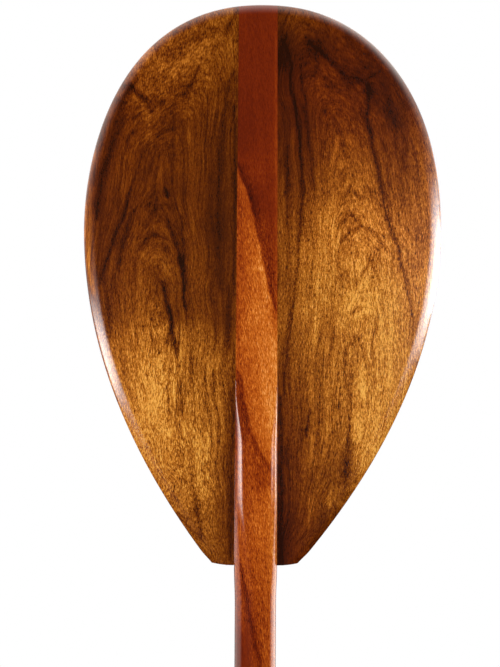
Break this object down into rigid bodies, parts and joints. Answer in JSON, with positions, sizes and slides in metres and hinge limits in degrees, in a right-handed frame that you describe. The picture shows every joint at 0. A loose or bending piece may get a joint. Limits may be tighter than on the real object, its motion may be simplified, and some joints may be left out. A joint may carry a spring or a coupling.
{
  "type": "single-blade wooden paddle",
  "caption": "Wooden single-blade paddle with a broad teardrop blade, a full-length contrasting spine that is also the shaft, and a T grip.",
  "frame": {"origin": "lowest point of the grip, on the shaft's axis; the bounding box's middle lies 4.3 mm to +X of it, because the blade's belly does", "axes": "+Z along the shaft from the grip to the blade's tip, X across the blade with the fuller side at +X, Y through the blade's thickness"},
  "size_m": [0.292, 0.033, 1.35],
  "materials": {
    "spine_mahogany": "gloss varnish over red-brown mahogany",
    "board_koa": "gloss varnish over figured golden-brown koa",
    "grip_koa": "satin varnish over dark koa",
    "wedge_maple": "varnished maple",
    "dowel_birch": "bare birch, glued in"
  },
  "bodies": {
    "root": {"spine_shaft": "spine_mahogany", "board_left": "board_koa", "board_right": "board_koa", "grip": "grip_koa", "grip_wedge": "wedge_maple", "cross_dowel_1": "dowel_birch", "cross_dowel_2": "dowel_birch", "cross_dowel_3": "dowel_birch", "cross_dowel_4": "dowel_birch"}
  },
  "joints": []
}
